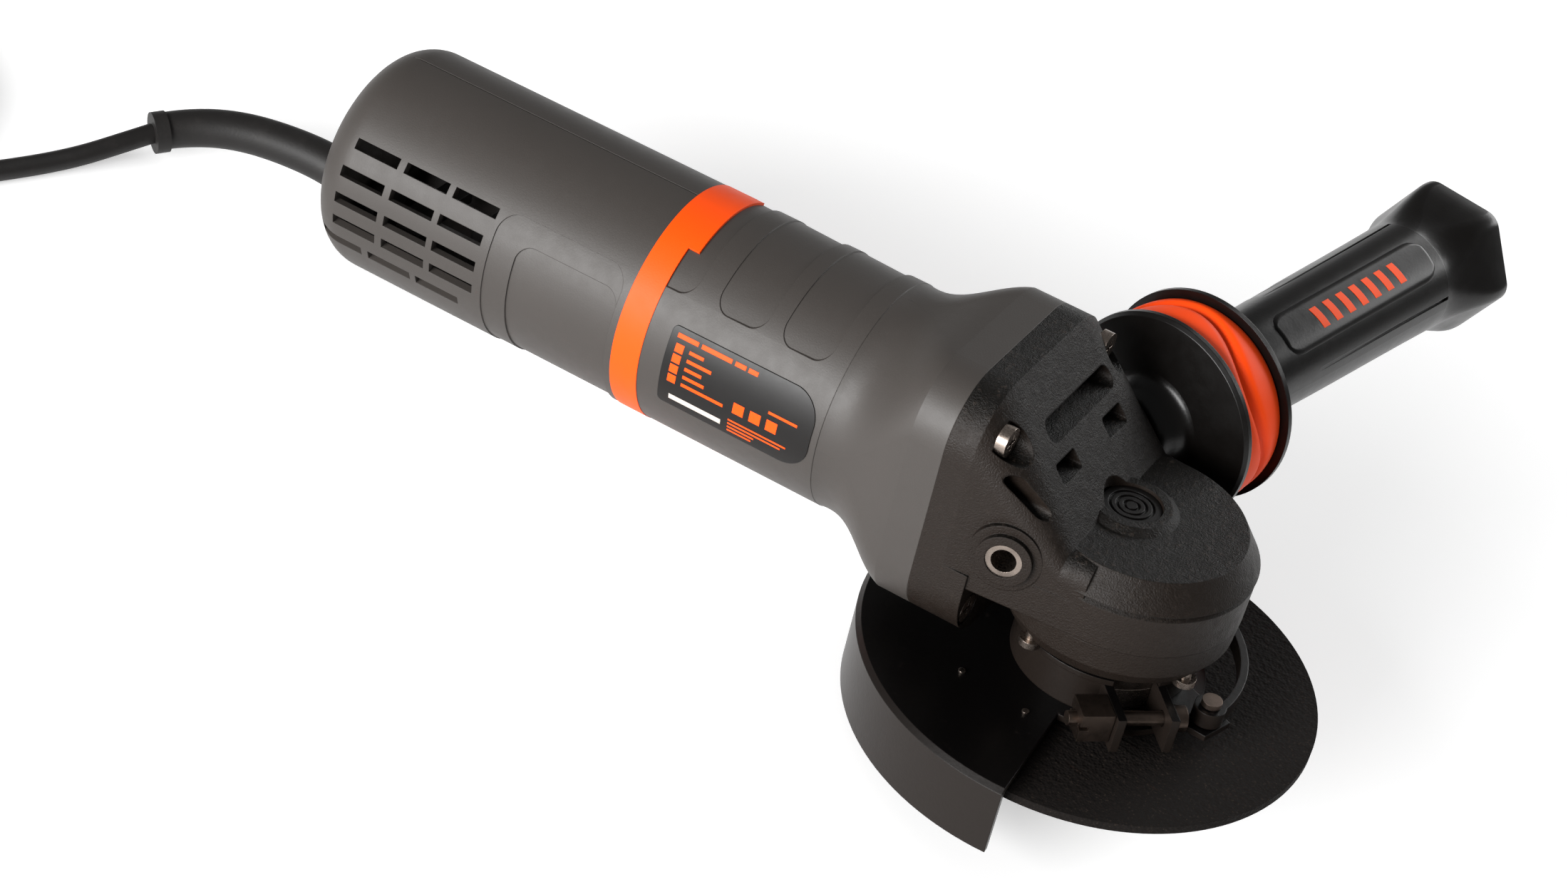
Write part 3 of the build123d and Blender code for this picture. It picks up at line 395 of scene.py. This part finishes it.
def grip_plate():
    """A slightly raised long plate with rounded ends."""
    mesh = bmesh.new()
    rows, columns = 60, 14
    grid = []
    for k in range(rows + 1):
        share = k / rows
        z = plate_from + (plate_to - plate_from) * (0.5 - 0.5 * cos(pi * share))
        end = min(z - plate_from, plate_to - z)
        half = plate_half
        if end < plate_cap:
            half = plate_half * max(0.02, sqrt(1 - (1 - end / plate_cap) ** 2)) ** 0.7
        row = []
        for n in range(columns + 1):
            t = 2 * n / columns - 1
            up = plate_lift * min(1.0, (1 - abs(t)) / plate_slope, end / 0.6) - plate_sink
            row.append(mesh.verts.new(plate_point(z, half * t, up)))
        grid.append(row)
    for near, far in zip(grid, grid[1:]):
        for n in range(columns):
            mesh.faces.new((near[n], near[n + 1], far[n + 1], far[n]))
    return finish_piece(mesh, "grip_plate", "handle_black", "side_handle", handle, 60)


def ribbon(mesh, rails, low, high, place, steps=5):
    """A thin curved block between two rails, each a pair of (along, across) points."""
    (a0, a1), (b0, b1) = rails
    loops = []
    for k in range(steps + 1):
        share = k / steps
        near = [a0[n] + (a1[n] - a0[n]) * share for n in (0, 1)]
        far = [b0[n] + (b1[n] - b0[n]) * share for n in (0, 1)]
        loops.append([place(*near, low), place(*far, low), place(*far, high), place(*near, high)])
    skin(mesh, loops)


def grip_bars():
    """A plain row of printed bars along the plate."""
    mesh = bmesh.new()
    for k in range(bar_count):
        z = bar_from + bar_pitch * k
        near = ((z, -bar_half), (z + bar_slant, bar_half))
        far = ((z + bar_width, -bar_half), (z + bar_width + bar_slant, bar_half))
        ribbon(mesh, (near, far), bar_low, bar_high, plate_point)
    return finish_piece(mesh, "grip_bars", "accent_orange", "side_handle", handle)


damper = damper_ring()
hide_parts("handle_damper")
grip_plate()
grip_bars()


# ---- rating label: rows of plain bars where the small print is ------------------------------------
body_r, label_t = 33.6, 0.3
print_low, print_high = -0.1, 0.06


def label_point(x, rise, lift):
    """A point on the right flank: x along the tool, rise round the flank, lift off the label."""
    radius = body_r + label_t + lift
    angle = rise / body_r
    return (x, -radius * cos(angle), radius * sin(angle))


def printed(name, bars, slot):
    """Thin print on the label: each bar is (x, rise, length, height)."""
    mesh = bmesh.new()
    for x, rise, length, height in bars:
        rails = ((x, rise), (x, rise + height)), ((x + length, rise), (x + length, rise + height))
        ribbon(mesh, rails, print_low, print_high, label_point, 3)
    return finish_piece(mesh, name, slot, "root")


heading = [(x, 11.6, length, 1.3)
           for x, length in ((-129.0, 6.6), (-121.4, 9.6), (-110.8, 3.4), (-106.6, 3.0))]
icons = [(-128.6, 7.6 - 3.1 * k, 2.6, 2.5) for k in range(4)]
rows = [(-124.2, 8.6 - 2.5 * k, length, 1.0) for k, length in enumerate((4.6, 7.8, 5.4, 6.8, 13.4))]
squares = [(x, -1.5, 3.4, 3.4) for x in (-107.8, -102.6, -97.4)]
small_print = [(-108.6, -4.6 - 1.25 * k, length, 0.55) for k, length in enumerate((18.2, 16.6, 8.4, 7.6))]
small_print.append((-97.5, 3.6, 9.0, 0.8))
printed("label_print", heading + icons + rows + squares + small_print, "accent_orange")
printed("label_strip", [(-127.4, -7.4, 16.6, 1.7)], "label_black").data.materials[0] = moulded(
    "label_strip", linear(190, 180, 172), 0.5, mottling=0.04)


# ---- bright machined neck, seen in the gap of the guard's split collar ------------------------------
neck_r, neck_from, neck_to, neck_t = 22.62, -43.0, -30.0, 0.3
groove_at, groove_half, groove_depth = -37.0, 0.2, 0.2


def machined_neck():
    """A thin turned band with one fine groove."""
    mesh = bmesh.new()
    around = 128
    profile = ((neck_r - neck_t, neck_from), (neck_r, neck_from), (neck_r, groove_at - groove_half),
               (neck_r - groove_depth, groove_at), (neck_r, groove_at + groove_half), (neck_r, neck_to),
               (neck_r - neck_t, neck_to))
    rings = [[(r * cos(2 * pi * n / around), r * sin(2 * pi * n / around), z) for n in range(around)]
             for r, z in profile]
    loops = skin(mesh, rings, close_ends=False)
    for n in range(around):
        mesh.faces.new((loops[-1][n], loops[-1][(n + 1) % around], loops[0][(n + 1) % around], loops[0][n]))
    return finish_piece(mesh, "machined_neck", "bright_steel", "root")


machined_neck()


# ---- spring under the lock button, drawn at rest here, though it shortens as the button is pressed ---
spring_x, spring_r, wire_r = -3.0, 3.7, 0.35
spring_from, spring_to, lock_travel = 0.2, 3.0, 2.4


def lock_coil():
    """The spring's wire, wound round the button's axis."""
    mesh = bmesh.new()
    turns, steps, across = 3, 32, 10
    rise = spring_to - spring_from - 2 * wire_r
    rings = []
    for k in range(turns * steps + 1):
        angle = 2 * pi * k / steps
        z = spring_from + wire_r + rise * k / (turns * steps)
        ring = []
        for n in range(across):
            turn = 2 * pi * n / across
            r = spring_r + wire_r * cos(turn)
            ring.append((spring_x + r * cos(angle), r * sin(angle), z + wire_r * sin(turn)))
        rings.append(ring)
    skin(mesh, rings)
    return finish_piece(mesh, "lock_coil", "bright_steel", "root")


spring = lock_coil()
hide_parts("lock_spring")
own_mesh(spring)


# ---- cord ---------------------------------------------------------------------------------------
lead_path = ((-211.2, -96.4, 8.2), (-215.4, -106.3, 5.6), (-219.4, -116.8, 3.5), (-223.4, -128.2, 3.1),
             (-228.2, -140.3, 3.1), (-233.6, -152.8, 3.1), (-238.6, -165.0, 3.1))
tail_path = ((-335.4, -159.4, 9.2), (-337.2, -142.4, 7.6), (-340.6, -126.4, 5.0), (-346.0, -111.4, 4.6),
             (-353.4, -97.4, 7.0))
coil_centre = (-288.5, -166.0)
coil_wide, coil_tight = 47.4, 24.7       # centre line of the outermost and innermost turns
coil_start, coil_end = radians(-28), radians(-188 - 7 * 360)
coil_low, coil_high = 3.1, 9.2
turn_points = 14
climb_points = 5                         # the second layer starts over this many points
cord_diameter = 0.006


def coil_turns():
    """One layer wound inwards on the ground and one outwards on top of it."""
    steps = round((coil_start - coil_end) / (2 * pi) * turn_points)
    points = []
    for k in range(1, steps):
        share = k / steps
        angle = coil_start + (coil_end - coil_start) * share
        inward = 1 - abs(2 * share - 1)
        radius = coil_wide + (coil_tight - coil_wide) * inward
        lift = min(1.0, max(0.0, (share - 0.5) * steps / climb_points + 0.5))
        height = coil_low + (coil_high - coil_low) * lift
        points.append((coil_centre[0] + radius * cos(angle), coil_centre[1] + radius * sin(angle), height))
    return points


def cord_curve(name, points):
    """The cord as one NURBS spline through its route."""
    curve = bpy.data.curves.new(name, "CURVE")
    curve.dimensions = "3D"
    curve.bevel_depth = cord_diameter / 2
    curve.bevel_resolution = 5
    curve.resolution_u = 6
    curve.use_fill_caps = True
    spline = curve.splines.new("NURBS")
    spline.points.add(len(points) - 1)
    for target, point in zip(spline.points, points):
        target.co = (*(Vector(point) * MM), 1.0)
    spline.order_u = 3
    spline.use_endpoint_u = True
    curve.materials.append(materials["cord_rubber"])
    piece = bpy.data.objects.new(name, curve)
    bpy.context.scene.collection.objects.link(piece)
    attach(piece, "root")
    return piece


cord = cord_curve("mains_cord", list(lead_path) + coil_turns() + list(tail_path))
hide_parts("power_cord", "cord_coil")

# ---- floor, light -------------------------------------------------------------------------------
floor_half = 4.0
floor_mesh = bmesh.new()
bmesh.ops.create_grid(floor_mesh, x_segments=2, y_segments=2, size=floor_half)
floor_data = bpy.data.meshes.new("ground")
floor_mesh.to_mesh(floor_data)
floor_mesh.free()
ground = bpy.data.objects.new("ground", floor_data)
bpy.context.scene.collection.objects.link(ground)
paper = Shader("paper", 0.8, specular=0.1)
paper.set("Base Color", paper.blend(paper.noise(0.5), linear(236, 236, 236), linear(241, 241, 241)))
paper.surface.inputs["Emission Color"].default_value = (1, 1, 1, 1)
paper.surface.inputs["Emission Strength"].default_value = 0.4
ground.data.materials.append(paper.material)


def area_light(name, place, aim, size, power):
    """A soft white panel at a place, turned to face aim."""
    light = bpy.data.lights.new(name, "AREA")
    light.shape = "RECTANGLE"
    light.size, light.size_y = size
    light.energy = power
    lamp = bpy.data.objects.new(name, light)
    lamp.location = place
    lamp.rotation_euler = (Vector(aim) - Vector(place)).to_track_quat("-Z", "Y").to_euler()
    bpy.context.scene.collection.objects.link(lamp)


centre = (0.0, 0.0, 0.05)
area_light("key", (-0.6, -2.0, 0.65), centre, (1.5, 0.8), 92)
area_light("rim", (0.5, 1.6, 0.9), centre, (1.6, 0.5), 24)
world = bpy.data.worlds.new("studio")
world.use_nodes = True
world.node_tree.nodes["Background"].inputs["Color"].default_value = (1, 1, 1, 1)
world.node_tree.nodes["Background"].inputs["Strength"].default_value = 0.18
bpy.context.scene.world = world
bpy.context.scene.view_settings.view_transform = "Standard"
